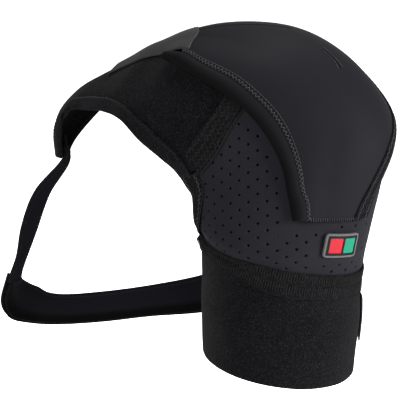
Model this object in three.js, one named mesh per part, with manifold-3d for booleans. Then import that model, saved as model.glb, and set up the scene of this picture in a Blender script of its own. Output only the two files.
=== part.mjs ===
import * as THREE from 'three';
import Module from 'manifold-3d';
import { mergeVertices } from 'three/addons/utils/BufferGeometryUtils.js';

// A brace for the left shoulder, in millimetres: +X is the wearer's left, -Y the front, +Z up.
// Its cloth follows one form, laid out in a quarter profile: out to the side of the arm, fore
// towards the front of the arm, and drop below the top of the shoulder.

// Driving sizes of the form
const armRadius = 63;
const armDepth = 60;
const shoulderDrop = 184;
const sleeveLength = 104;
const chestReach = 187;
const quarterTurn = THREE.MathUtils.degToRad(52);

// Driving sizes of the strap loop
const loopReach = 247;
const loopDepth = 226;
const loopDrop = 338;
const strapWall = 2.6;

// Walls, gaps and lifts
const clothWall = 2.8;
const coverWall = 2.4;
const tapeWall = 1.2;
const tabWall = 1.8;
const closureWall = 2.2;
const hemRoll = 4.4;
const layerGap = 0.8;
const bandGap = 1.4;
const seamGap = 0.5;
const hemOpening = 4.5;
const hemTuck = 0.6;

// Badge and perforation
const badgeWall = 2.2;
const badgeBlockWall = 0.9;
const holeDiameter = 1.8;
const holeRowPitch = 14.4;
const holeColumnPitch = 16.8;
const holeSides = 5;
const holeMargin = 0.12;

// One row for each station of the form, as shares of the driving sizes. chest and sleeve are the
// shares of the chest's reach and of the sleeve's length. Out is a share of the arm's radius, fore
// of its depth and drop of the shoulder's drop. Wraps are degrees of the arc from the ridge.
const formColumns = ['station', 'chest', 'sleeve', 'ridgeOut', 'ridgeFore', 'ridgeDrop',
  'frontOut', 'frontFore', 'frontDrop', 'frontBulge', 'frontWrap',
  'backOut', 'backFore', 'backDrop', 'backBulge', 'backWrap'];
const formRows = {
  cuffHem: [0, 0, 1, 1, 0, 1, -0.6, -0.77, 0.93, 0.98, 232, -0.6, -0.77, 0.93, 0.98, 128],
  cuffMiddle: [1, 0, 0.55, 1.06, 0, 1, -0.6, -0.78, 0.96, 1, 232, -0.6, -0.78, 0.96, 1, 128],
  cuffTop: [2, 0, 0.22, 1.05, 0, 1.01, -0.6, -0.78, 0.93, 1, 232, -0.6, -0.78, 0.93, 1, 128],
  cuffSeam: [2.75, 0, 0.05, 1.09, 0, 1, -0.6, -0.78, 0.94, 1, 232, -0.6, -0.78, 0.94, 1, 128],
  armpit: [3, 0, 0, 1.1, 0, 1, -0.67, -0.73, 0.955, 1, 227, -0.57, -0.83, 0.965, 1, 128],
  lowerSleeve: [4, 0, 0, 1.16, -0.02, 0.89, -1.03, 0, 0.88, 1.03, 185, -0.44, -1.1, 0.9, 1.07, 126],
  upperSleeve: [5, 0, 0, 1.27, -0.08, 0.7, -1.1, 0.12, 0.74, 1.07, 166, -0.29, -1.47, 0.76, 1.2, 120],
  shoulderSide: [6, 0, 0, 1.4, -0.13, 0.51, -1.18, 0.17, 0.69, 1.1, 150, -0.13, -1.75, 0.61, 1.4, 112],
  outerDome: [7, 0, 0, 1.26, -0.2, 0.35, -1.33, 0.13, 0.62, 1.13, 138, -0.13, -1.88, 0.48, 1.53, 108],
  upperDome: [8, 0, 0, 0.82, -0.33, 0.18, -1.52, 0.08, 0.57, 1.17, 126, -0.21, -1.95, 0.36, 1.53, 104],
  crown: [9, 0.25, 0, 0.87, -0.5, 0.07, -1.04, -0.08, 0.51, 1.13, 116, 0.3, -1.87, 0.27, 1.33, 100],
  collar: [10, 0.45, 0, 0.61, -0.7, 0.07, -0.7, -0.33, 0.44, 0.83, 106, 0.48, -1.67, 0.21, 0.97, 98],
  collarbone: [11, 0.65, 0, 0.41, -0.97, 0.15, -0.38, -0.67, 0.43, 0.5, 100, 0.5, -1.45, 0.23, 0.5, 96],
  upperChest: [12, 0.75, 0, 0.31, -1.13, 0.23, -0.23, -0.83, 0.44, 0.4, 98, 0.29, -1.63, 0.36, 0.5, 96],
  lowerChest: [13, 0.85, 0, 0.19, -1.33, 0.32, -0.07, -1, 0.45, 0.33, 96, 0.13, -1.83, 0.53, 0.5, 96],
  panelEnd: [14, 0.95, 0, 0.12, -1.53, 0.41, 0.03, -1.17, 0.47, 0.33, 96, 0.12, -1.97, 0.66, 0.43, 96],
  turn: [15, 1, 0, 0, -1.63, 0.55, 0.1, -1.32, 0.56, 0.3, 96, 0.14, -2.07, 0.74, 0.4, 96],
  tip: [16, 1, 0, 0, -1.7, 0.73, 0.08, -1.42, 0.72, 0.27, 96, 0.08, -2.13, 0.8, 0.4, 96],
};
const stations = Object.values(formRows).map((row) => row[0]);
const lastStation = stations.at(-1);
const formSpline = new THREE.CubicInterpolant(
  stations, Object.values(formRows).flat(), formColumns.length);

// A station's row of named shares, smoothly between the table's rows
function sharesAt(station) {
  const values = formSpline.evaluate(THREE.MathUtils.clamp(station, 0, lastStation));
  return Object.fromEntries(formColumns.map((column, index) => [column, values[index]]));
}

// The form's skin. Across is 0 on the ridge, 1 on the front edge and -1 on the back edge.
function formPoint(station, across) {
  const row = sharesAt(station);
  const side = across >= 0 ? 'front' : 'back';
  const place = (name) => new THREE.Vector3(
    armRadius * row[name + 'Out'] - chestReach * row.chest,
    -armDepth * row[name + 'Fore'],
    -shoulderDrop * row[name + 'Drop'] - sleeveLength * row.sleeve);
  const ridge = place('ridge');
  const edge = place(side);
  const wrap = THREE.MathUtils.degToRad(row[side + 'Wrap']);
  const bulge = -Math.sign(across) * armDepth * row[side + 'Bulge'];
  const turn = Math.abs(across) * wrap;
  const reached = (1 - Math.cos(turn)) / (1 - Math.cos(wrap));
  const point = ridge.clone().lerp(edge, reached);
  point.y += bulge * (Math.sin(turn) - Math.sin(wrap) * reached);
  return point;
}

// The form's outward normal, from small steps along and across
function formNormal(station, across) {
  const step = 0.01;
  const low = Math.max(station - step, 0);
  const high = Math.min(station + step, lastStation);
  const left = Math.max(across - step, -1);
  const right = Math.min(across + step, 1);
  const along = formPoint(high, across).sub(formPoint(low, across));
  const over = formPoint(station, right).sub(formPoint(station, left));
  return along.cross(over).normalize();
}

function onForm(station, across, lift) {
  return formPoint(station, across).addScaledVector(formNormal(station, across), lift);
}

// A smooth line through a short table of [place, value] rows
function lineThrough(rows) {
  const places = rows.map((row) => row[0]);
  const spline = new THREE.CubicInterpolant(places, rows.map((row) => row[1]), 1);
  return (place) => spline.evaluate(THREE.MathUtils.clamp(place, places[0], places.at(-1)))[0];
}

// Six times the volume that a closed triangle list encloses, negative when it is inside out
function signedVolume(points, faces) {
  return faces.reduce((sum, [a, b, c]) =>
    sum + points[a].dot(points[b].clone().cross(points[c])), 0);
}

function closedGeometry(points, faces) {
  const outward = signedVolume(points, faces) > 0;
  const index = faces.flatMap(([a, b, c]) => (outward ? [a, b, c] : [a, c, b]));
  const geometry = new THREE.BufferGeometry();
  geometry.setAttribute('position',
    new THREE.Float32BufferAttribute(points.flatMap((point) => point.toArray()), 3));
  geometry.setIndex(index);
  geometry.computeVertexNormals();
  return geometry;
}

// A closed wall between an inner and an outer skin. skinAt(s, t) gives both points for shares
// s along and t across; a looped wall joins its last column to its first.
function wallGeometry(skinAt, alongSteps, acrossSteps, looped = false) {
  const columns = looped ? acrossSteps : acrossSteps + 1;
  const points = [];
  for (let i = 0; i <= alongSteps; i++) {
    for (let j = 0; j < columns; j++) {
      const { inner, outer } = skinAt(i / alongSteps, j / acrossSteps);
      points.push(outer, inner);
    }
  }
  const id = (i, j, layer) => 2 * (i * columns + (j % columns)) + layer;
  const faces = [];
  const quad = (a, b, c, d) => faces.push([a, b, c], [a, c, d]);
  for (let i = 0; i < alongSteps; i++) {
    for (let j = 0; j < acrossSteps; j++) {
      quad(id(i, j, 0), id(i + 1, j, 0), id(i + 1, j + 1, 0), id(i, j + 1, 0));
      quad(id(i, j, 1), id(i, j + 1, 1), id(i + 1, j + 1, 1), id(i + 1, j, 1));
    }
  }
  for (let j = 0; j < acrossSteps; j++) {
    quad(id(0, j, 0), id(0, j + 1, 0), id(0, j + 1, 1), id(0, j, 1));
    quad(id(alongSteps, j, 0), id(alongSteps, j, 1), id(alongSteps, j + 1, 1),
      id(alongSteps, j + 1, 0));
  }
  for (let i = 0; i < alongSteps && !looped; i++) {
    quad(id(i, 0, 0), id(i, 0, 1), id(i + 1, 0, 1), id(i + 1, 0, 0));
    quad(id(i, acrossSteps, 0), id(i + 1, acrossSteps, 0), id(i + 1, acrossSteps, 1),
      id(i, acrossSteps, 1));
  }
  return closedGeometry(points, faces);
}

// A piece of the form between two lines of stations, over a range of across shares
function pieceBetweenStations({ low, high, from, to, lift, wall, along, across, looped }) {
  return wallGeometry((s, t) => {
    const share = THREE.MathUtils.lerp(from, to, t);
    const station = THREE.MathUtils.lerp(low(share), high(share), s);
    return {
      inner: onForm(station, share, lift),
      outer: onForm(station, share, lift + wall),
    };
  }, along, across, looped);
}

// A piece of the form between two lines of across shares, over a range of stations
function pieceBetweenShares({ from, to, near, far, lift, wall, along, across }) {
  return wallGeometry((s, t) => {
    const station = THREE.MathUtils.lerp(from, to, s);
    const share = THREE.MathUtils.lerp(near(station), far(station), t);
    const base = lift(station, share, t);
    return {
      inner: onForm(station, share, base),
      outer: onForm(station, share, base + wall(t)),
    };
  }, along, across);
}

// The seat is under the crown, a little in front of the ridge
const seatShare = 0.2;
const brace = new THREE.Group();
const seat = onForm(formRows.crown[0], seatShare, -clothWall);
const turned = new THREE.Group();
turned.position.copy(seat).negate();
brace.add(turned);
brace.rotation.z = quarterTurn;

function addPiece(name, geometry, color, roughness) {
  const material = new THREE.MeshStandardMaterial({ color, roughness, metalness: 0 });
  const mesh = new THREE.Mesh(geometry, material);
  mesh.name = name;
  turned.add(mesh);
}

// Seam lines of the form: across share, then station
const cuffBandLow = lineThrough([[-1, 2.2], [-0.5, 1.65], [-0.2, 1.6], [0, 1.7], [0.21, 1.88],
  [0.45, 1.97], [0.59, 2.3], [0.68, 2.4], [1, 2.2]]);
const cuffBandHigh = lineThrough([[-1, 2.9], [-0.6, 2.55], [-0.2, 2.45], [0.12, 2.58],
  [0.28, 2.76], [0.41, 2.98], [0.56, 3.26], [0.7, 3.34], [0.84, 3.15], [1, 2.9]]);
const cuffJoin = (share) => (cuffBandLow(share) + cuffBandHigh(share)) / 2;
const chestJoin = lineThrough([[-1, 9.5], [-0.35, 9.5], [0.2, 9.3], [0.45, 9], [0.62, 8.6],
  [0.75, 8.05], [0.83, 7.5], [0.91, 6.85], [1, 6.45]]);
const tapeLow = lineThrough([[0.5, 8.75], [0.62, 8.43], [0.69, 8.2], [0.75, 7.88], [0.83, 7.28],
  [0.91, 6.6]]);
const tapeHigh = lineThrough([[0.5, 9.2], [0.61, 8.9], [0.76, 8.5], [0.86, 8.1], [0.91, 7.8]]);

// A seam's gap in stations, one station being about a third of the sleeve's length
const stationGap = seamGap / (sleeveLength / 3);
const cuffGap = 7 * stationGap;
const backSeamShare = -0.36;
const edgeShare = 0.996;
const shareGap = 3 * seamGap / (4 * armRadius);

// Stations and across shares of the cuff's closure at the back of the arm
const closureArea = { low: 0.55, high: 1.5, from: -0.45, to: 0.035 };

function addCuff() {
  addPiece('arm_cuff', pieceBetweenStations({
    low: () => 0,
    high: (share) => cuffJoin(share) - cuffGap,
    from: -1,
    to: 1,
    lift: -clothWall,
    wall: clothWall,
    along: 5,
    across: 32,
    looped: true,
  }), 0x1b1b1c, 0.95);
  addPiece('cuff_seam_band', pieceBetweenStations({
    low: cuffBandLow,
    high: cuffBandHigh,
    from: -1,
    to: 1,
    lift: bandGap,
    wall: tapeWall,
    along: 4,
    across: 36,
    looped: true,
  }), 0x232325, 0.92);
  addPiece('cuff_closure', pieceBetweenStations({
    low: () => closureArea.low,
    high: () => closureArea.high,
    from: closureArea.from,
    to: closureArea.to,
    lift: layerGap,
    wall: closureWall,
    along: 3,
    across: 8,
  }), 0x2a2a2d, 0.7);
}

// The holes lie in staggered columns, a row pitch apart along the cloth from one starting rib
const holeStartStation = 6.28;
const holeFirstShare = 0.875;
const holeStep = 0.02;

function columnHoles(share, offset, isOpen) {
  const places = [];
  for (const direction of [-1, 1]) {
    let station = holeStartStation;
    let travelled = direction > 0 ? -offset : -(holeRowPitch - offset);
    let point = formPoint(station, share);
    while (station > formRows.cuffMiddle[0] && station < formRows.collar[0]) {
      station += direction * holeStep;
      const next = formPoint(station, share);
      travelled += next.distanceTo(point);
      point = next;
      if (travelled >= 0) {
        travelled -= holeRowPitch;
        if (isOpen(station, share)) {
          places.push([station, share]);
        }
      }
    }
  }
  return places;
}

function holePlaces(isOpen) {
  const places = [];
  const halfPitch = holeColumnPitch / 2 / (4 * armRadius);
  for (let column = 0; holeFirstShare - column * halfPitch > 0; column++) {
    const share = holeFirstShare - column * halfPitch;
    places.push(...columnHoles(share, column % 2 === 0 ? 0 : holeRowPitch / 2, isOpen));
  }
  return places;
}

function holeCutter(station, share) {
  const cutter = new THREE.CylinderGeometry(
    holeDiameter / 2, holeDiameter / 2, 4 * clothWall, holeSides);
  const normal = formNormal(station, share);
  const turn = new THREE.Quaternion().setFromUnitVectors(new THREE.Vector3(0, 1, 0), normal);
  cutter.applyQuaternion(turn);
  const centre = onForm(station, share, -clothWall / 2);
  cutter.translate(centre.x, centre.y, centre.z);
  return cutter;
}

const weldDistance = 1e-4;
const wasm = await Module();
wasm.setup();

function toSolid(geometry) {
  const bare = geometry.clone();
  bare.deleteAttribute('normal');
  bare.deleteAttribute('uv');
  const merged = mergeVertices(bare, weldDistance);
  return new wasm.Manifold(new wasm.Mesh({
    numProp: 3,
    vertProperties: new Float32Array(merged.attributes.position.array),
    triVerts: new Uint32Array(merged.index.array),
  }));
}

function cutHoles(geometry, places) {
  let solid = toSolid(geometry);
  for (const [station, share] of places) {
    solid = solid.subtract(toSolid(holeCutter(station, share)));
  }
  const mesh = solid.getMesh();
  const pierced = new THREE.BufferGeometry();
  pierced.setAttribute('position', new THREE.BufferAttribute(mesh.vertProperties, 3));
  pierced.setIndex(new THREE.BufferAttribute(mesh.triVerts, 1));
  pierced.computeVertexNormals();
  return pierced;
}

// Edges of the shoulder cover: station, then across share
const coverStitch = lineThrough([[4.7, 0.47], [5.2, 0.5], [5.65, 0.54], [6.15, 0.56],
  [7.05, 0.57], [8.2, 0.56], [8.95, 0.54], [9.7, 0.51], [10.2, 0.44], [10.6, 0.39]]);
const coverHemEdge = lineThrough([[4.7, 0.52], [5.2, 0.555], [5.7, 0.59], [6.4, 0.61],
  [7.6, 0.62], [8.7, 0.61], [9.4, 0.6], [9.9, 0.57], [10.25, 0.52], [10.6, 0.46]]);
const coverBackEdge = lineThrough([[4.5, 0.22], [5.2, 0.19], [5.8, 0.15], [6.15, 0.1],
  [6.6, 0], [7, -0.11], [7.5, -0.24], [8, -0.34], [9, -0.44], [10.6, -0.48]]);
// Bottom and top of the cover: share of the way from the back edge to the stitch, then station
const coverBottom = lineThrough([[0, 4.56], [0.5, 4.66], [1, 4.76]]);
const coverTop = lineThrough([[0, 10.45], [0.6, 10.42], [0.85, 10.36], [1, 10.22]]);
const coverLift = 1;
const hemRiseStart = 0.72;
const hemLoose = lineThrough([[4.6, 0.45], [6, 0.7], [8, 0.8], [9.2, 1], [10, 1.1], [10.6, 0.7]]);

// The cover lies on the base cloth and stands off towards its open front hem
function coverLiftAt(station, reached) {
  const rise = THREE.MathUtils.smoothstep(reached, hemRiseStart, 1);
  return coverLift + hemOpening * hemLoose(station) * rise;
}

// Stations that the cover's hem and its back binding reach, and the binding's width
const hemTopStation = 10.58;
const backBinding = { from: 4.6, to: 9.2, share: 0.055 };

function addCover() {
  addPiece('shoulder_cover', wallGeometry((s, t) => {
    const station = THREE.MathUtils.lerp(coverBottom(t), coverTop(t), s);
    const share = THREE.MathUtils.lerp(coverBackEdge(station), coverStitch(station), t);
    const lift = coverLiftAt(station, t);
    return {
      inner: onForm(station, share, lift),
      outer: onForm(station, share, lift + coverWall),
    };
  }, 18, 14), 0x29292c, 0.62);
  const rollProfile = lineThrough([[0, 0.62], [0.3, 1], [0.7, 1], [1, 0.5]]);
  addPiece('cover_front_hem', pieceBetweenShares({
    from: coverBottom(1),
    to: hemTopStation,
    near: (station) => coverStitch(station) + shareGap,
    far: coverHemEdge,
    lift: (station, share, t) =>
      coverLiftAt(station, 1) - hemTuck + (1 - rollProfile(t)) * hemRoll / 2,
    wall: (t) => hemRoll * rollProfile(t),
    along: 24,
    across: 3,
  }), 0x2c2c2f, 0.6);
  addPiece('cover_back_binding', pieceBetweenShares({
    from: backBinding.from,
    to: backBinding.to,
    near: (station) => coverBackEdge(station) + shareGap,
    far: (station) => coverBackEdge(station) + backBinding.share,
    lift: () => coverLift + coverWall + layerGap,
    wall: () => tapeWall,
    along: 18,
    across: 2,
  }), 0x242427, 0.8);
}

// The hook tab: across share of its back edge, and its end's stations at the back and the front
const hookTab = { back: -0.42, endBack: 12.2, endFront: 12.65 };
const hookTabEdge = lineThrough([[10.2, 0.41], [10.77, 0.36], [11.48, 0.33], [12.13, 0.29],
  [12.65, 0.28]]);

function addHookTab() {
  addPiece('hook_tab', wallGeometry((s, t) => {
    const start = coverTop(t) + stationGap;
    const end = THREE.MathUtils.lerp(hookTab.endBack, hookTab.endFront, t);
    const station = THREE.MathUtils.lerp(start, end, s);
    const share = THREE.MathUtils.lerp(hookTab.back, hookTabEdge(station), t);
    return {
      inner: onForm(station, share, layerGap),
      outer: onForm(station, share, layerGap + tabWall),
    };
  }, 8, 8), 0x3c3e3e, 0.5);
}

// Places that the holes keep clear of: the badge, the cover, and the tape and the chest panel
const badgeArea = { low: 3.2, high: 4.6, from: 0.13, to: 0.42 };
const holeBounds = { coverStation: 4.5, coverMargin: 0.02, tapeShare: 0.55, topStation: 8.3 };

function isBare(station, share) {
  const clearOfBand = station > cuffBandHigh(share) + holeMargin;
  const clearOfTape = share < holeBounds.tapeShare || station < tapeLow(share) - 2 * holeMargin;
  const underCover = station > holeBounds.coverStation
    && share < coverHemEdge(station) + holeBounds.coverMargin;
  const underBadge = station > badgeArea.low && station < badgeArea.high
    && share > badgeArea.from && share < badgeArea.to;
  const belowDome = station < holeBounds.topStation;
  return clearOfBand && clearOfTape && !underCover && !underBadge && belowDome;
}

function addPanels() {
  const sleeve = pieceBetweenStations({
    low: (share) => cuffJoin(share) + cuffGap,
    high: (share) => chestJoin(share) - stationGap,
    from: backSeamShare + shareGap,
    to: edgeShare,
    lift: -clothWall,
    wall: clothWall,
    along: 15,
    across: 24,
  });
  addPiece('perforated_panel', cutHoles(sleeve, holePlaces(isBare)), 0x35363d, 0.85);
  addPiece('back_panel', pieceBetweenStations({
    low: (share) => cuffJoin(share) + cuffGap,
    high: (share) => chestJoin(share) - stationGap,
    from: -edgeShare,
    to: backSeamShare - shareGap,
    lift: -clothWall,
    wall: clothWall,
    along: 15,
    across: 10,
  }), 0x2a2a2e, 0.88);
  addPiece('chest_panel', pieceBetweenStations({
    low: (share) => chestJoin(share) + stationGap,
    high: () => lastStation,
    from: -edgeShare,
    to: edgeShare,
    lift: -clothWall,
    wall: clothWall,
    along: 18,
    across: 12,
  }), 0x1c1c1d, 0.96);
}

// Stations and across shares that the hem, the front binding and the seam tape reach
const chestHem = { from: 6.95, to: 15 };
const frontBinding = { from: 3.3, to: 6.1, near: 0.905 };
const seamTape = { from: 0.54, to: 0.905 };

function addSeams() {
  const hemStitch = lineThrough([[6.9, 0.93], [8, 0.92], [9.1, 0.92], [9.9, 0.92], [10.8, 0.87],
    [11.9, 0.82], [13.4, 0.7], [15, 0.5]]);
  addPiece('chest_panel_hem', pieceBetweenShares({
    from: chestHem.from,
    to: chestHem.to,
    near: hemStitch,
    far: () => edgeShare,
    lift: () => layerGap,
    wall: () => tapeWall,
    along: 24,
    across: 2,
  }), 0x222223, 0.94);
  addPiece('front_edge_binding', pieceBetweenShares({
    from: frontBinding.from,
    to: frontBinding.to,
    near: () => frontBinding.near,
    far: () => edgeShare,
    lift: () => layerGap,
    wall: () => tapeWall,
    along: 12,
    across: 2,
  }), 0x242428, 0.9);
  addPiece('panel_seam_tape', pieceBetweenStations({
    low: tapeLow,
    high: tapeHigh,
    from: seamTape.from,
    to: seamTape.to,
    lift: layerGap,
    wall: tapeWall,
    along: 3,
    across: 12,
  }), 0x202022, 0.94);
}

// The badge's corners on the form, station and across share, and its blocks as shares of it
const badgeCorners = {
  upperFront: [4.45, 0.39],
  upperBack: [4.27, 0.23],
  lowerFront: [3.85, 0.36],
  lowerBack: [3.43, 0.17],
};
const badgeBlocks = {
  badge_red_block: { across: [0.14, 0.48], down: [0.22, 0.78], color: 0xc83c48 },
  badge_green_block: { across: [0.56, 0.86], down: [0.22, 0.78], color: 0x2e9c82 },
};

function badgePiece(across, down, lift, wall) {
  const corner = (name, index) => badgeCorners[name][index];
  const mix = (index, a, d) => THREE.MathUtils.lerp(
    THREE.MathUtils.lerp(corner('upperFront', index), corner('upperBack', index), a),
    THREE.MathUtils.lerp(corner('lowerFront', index), corner('lowerBack', index), a), d);
  return wallGeometry((s, t) => {
    const a = THREE.MathUtils.lerp(across[0], across[1], s);
    const d = THREE.MathUtils.lerp(down[0], down[1], t);
    return {
      inner: onForm(mix(0, a, d), mix(1, a, d), lift),
      outer: onForm(mix(0, a, d), mix(1, a, d), lift + wall),
    };
  }, 4, 3);
}

function addBadge() {
  addPiece('badge_plate', badgePiece([0, 1], [0, 1], layerGap, badgeWall), 0x55575a, 0.55);
  for (const [name, block] of Object.entries(badgeBlocks)) {
    const lift = layerGap + badgeWall + seamGap;
    addPiece(name, badgePiece(block.across, block.down, lift, badgeBlockWall), block.color, 0.5);
  }
}

// The strap loop, one row for each place along it: out, fore and drop of its lower edge and of
// its upper edge, as shares of the loop's reach, depth and drop
const loopColumns = ['lowerOut', 'lowerFore', 'lowerDrop', 'upperOut', 'upperFore', 'upperDrop'];
const loopRows = {
  belowTip: [-0.84, -0.43, 0.49, -0.81, -0.63, 0.54],
  chestSide: [-0.9, -0.5, 0.6, -0.87, -0.69, 0.66],
  aboveCorner: [-0.93, -0.56, 0.7, -0.94, -0.75, 0.8],
  corner: [-0.97, -0.59, 0.78, -0.94, -0.76, 0.815],
  cornerLow: [-1, -0.63, 0.86, -0.91, -0.78, 0.835],
  cornerTurn: [-0.98, -0.67, 0.91, -0.88, -0.8, 0.85],
  farSide: [-0.91, -0.74, 0.945, -0.85, -0.82, 0.87],
  farBack: [-0.81, -0.85, 0.98, -0.79, -0.87, 0.89],
  backLeft: [-0.65, -0.95, 1, -0.64, -0.95, 0.903],
  backMiddle: [-0.46, -1, 0.997, -0.46, -1, 0.897],
  backRight: [-0.255, -1, 0.985, -0.255, -1, 0.865],
  backRise: [-0.07, -0.8, 0.9, -0.08, -0.8, 0.76],
  shoulderRise: [0.12, -0.49, 0.73, 0.11, -0.49, 0.59],
};
const loopPlace = (row, edge) => new THREE.Vector3(
  loopReach * row[loopColumns.indexOf(edge + 'Out')],
  -loopDepth * row[loopColumns.indexOf(edge + 'Fore')],
  -loopDrop * row[loopColumns.indexOf(edge + 'Drop')]);

// Both ends of the loop lie on the form: inside the chest panel's tip and outside the sleeve
const innerLift = -clothWall - 3.6 * layerGap;
const outerLift = layerGap + strapWall / 2;
const slackLift = 6;
const loopStart = [
  { station: 15.35, lower: 0.8, upper: -0.75, lift: innerLift },
  { station: 15.95, lower: 0.85, upper: -0.78, lift: innerLift },
];
const loopEnd = [
  { lower: 4.05, upper: 5.3, share: -0.35, lift: slackLift },
  { lower: 4.15, upper: 5.35, share: -0.25, lift: outerLift },
  { lower: 4.2, upper: 5.4, share: -0.18, lift: outerLift },
];

function loopEdge(edge) {
  const start = loopStart.map((row) => onForm(row.station, row[edge], row.lift - strapWall / 2));
  const middle = Object.values(loopRows).map((row) => loopPlace(row, edge));
  const end = loopEnd.map((row) => onForm(row[edge], row.share, row.lift));
  return new THREE.CatmullRomCurve3([...start, ...middle, ...end]);
}

const lowerEdge = loopEdge('lower');
const upperEdge = loopEdge('upper');

// A point and the normal towards the trunk of the strap loop, at a share of its points along and across
function loopFrame(along, across) {
  const at = (share) => lowerEdge.getPoint(share).lerp(upperEdge.getPoint(share), across);
  const step = 0.002;
  const forward = at(Math.min(along + step, 1)).sub(at(Math.max(along - step, 0)));
  const over = upperEdge.getPoint(along).sub(lowerEdge.getPoint(along));
  return { point: at(along), normal: forward.cross(over).normalize() };
}

function strapPiece(from, to, lift, wall, steps, margin = 0) {
  return wallGeometry((s, t) => {
    const across = THREE.MathUtils.lerp(margin, 1 - margin, t);
    const { point, normal } = loopFrame(THREE.MathUtils.lerp(from, to, s), across);
    return {
      inner: point.clone().addScaledVector(normal, lift),
      outer: point.clone().addScaledVector(normal, lift + wall),
    };
  }, steps, 2);
}

// Shares of the loop where its two straps meet and where the hook tab lies on it
const loopSpans = Object.keys(loopRows).length + loopStart.length + loopEnd.length - 1;
const cornerShare = 5.05 / loopSpans;
const strapJoinShare = 0.0012;
const strapTab = { from: 4.7 / loopSpans, to: 7.6 / loopSpans, margin: 0.03 };
const backTab = { low: 4.3, high: 5.3, from: -0.155, lowTo: -0.11, highTo: -0.035 };

function addStraps() {
  const tabLift = -strapWall / 2 - bandGap - tabWall;
  addPiece('chest_strap', strapPiece(0, cornerShare - strapJoinShare, -strapWall / 2, strapWall,
    18), 0x222226, 0.7);
  addPiece('underarm_strap', strapPiece(cornerShare + strapJoinShare, 1, -strapWall / 2,
    strapWall, 36), 0x222226, 0.7);
  addPiece('strap_hook_tab', strapPiece(strapTab.from, strapTab.to, tabLift, tabWall, 10,
    strapTab.margin), 0x3a3b3f, 0.55);
  addPiece('back_strap_tab', pieceBetweenShares({
    from: backTab.low,
    to: backTab.high,
    near: () => backTab.from,
    far: (station) => THREE.MathUtils.mapLinear(
      station, backTab.low, backTab.high, backTab.lowTo, backTab.highTo),
    lift: () => layerGap,
    wall: () => strapWall,
    along: 4,
    across: 3,
  }), 0x2e2e32, 0.6);
}

addCuff();
addPanels();
addSeams();
addCover();
addHookTab();
addBadge();
addStraps();

export default brace;
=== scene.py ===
import math

import bmesh
import bpy
import numpy as np
from mathutils import Matrix, Vector, noise


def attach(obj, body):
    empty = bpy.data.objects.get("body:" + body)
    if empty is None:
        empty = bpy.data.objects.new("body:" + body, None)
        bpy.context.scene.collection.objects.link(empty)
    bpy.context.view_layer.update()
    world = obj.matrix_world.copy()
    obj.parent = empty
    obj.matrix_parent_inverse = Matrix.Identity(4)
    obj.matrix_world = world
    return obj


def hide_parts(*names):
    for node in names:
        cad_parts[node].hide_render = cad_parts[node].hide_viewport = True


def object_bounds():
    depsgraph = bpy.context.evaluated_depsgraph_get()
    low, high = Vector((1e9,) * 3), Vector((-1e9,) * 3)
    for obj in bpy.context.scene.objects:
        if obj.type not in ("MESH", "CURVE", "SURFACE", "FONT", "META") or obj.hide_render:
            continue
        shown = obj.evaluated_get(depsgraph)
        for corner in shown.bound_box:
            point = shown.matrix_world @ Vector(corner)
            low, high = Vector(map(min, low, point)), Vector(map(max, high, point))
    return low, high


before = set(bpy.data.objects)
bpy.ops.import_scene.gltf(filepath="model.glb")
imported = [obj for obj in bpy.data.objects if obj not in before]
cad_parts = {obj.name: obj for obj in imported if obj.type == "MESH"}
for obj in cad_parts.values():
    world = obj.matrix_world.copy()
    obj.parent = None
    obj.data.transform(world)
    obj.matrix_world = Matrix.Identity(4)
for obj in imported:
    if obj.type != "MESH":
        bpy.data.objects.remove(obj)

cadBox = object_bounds()
print("frame loaded")


# The form that the cloth follows, in millimetres: out to the side, back and up

formSize = {
    "armRadius": 63.0,
    "armDepth": 60.0,
    "shoulderDrop": 184.0,
    "sleeveLength": 104.0,
    "chestReach": 187.0,
    "quarterTurn": math.radians(52),
    "clothWall": 2.8,
    "seatStation": 9,
    "seatShare": 0.2,
}

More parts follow.
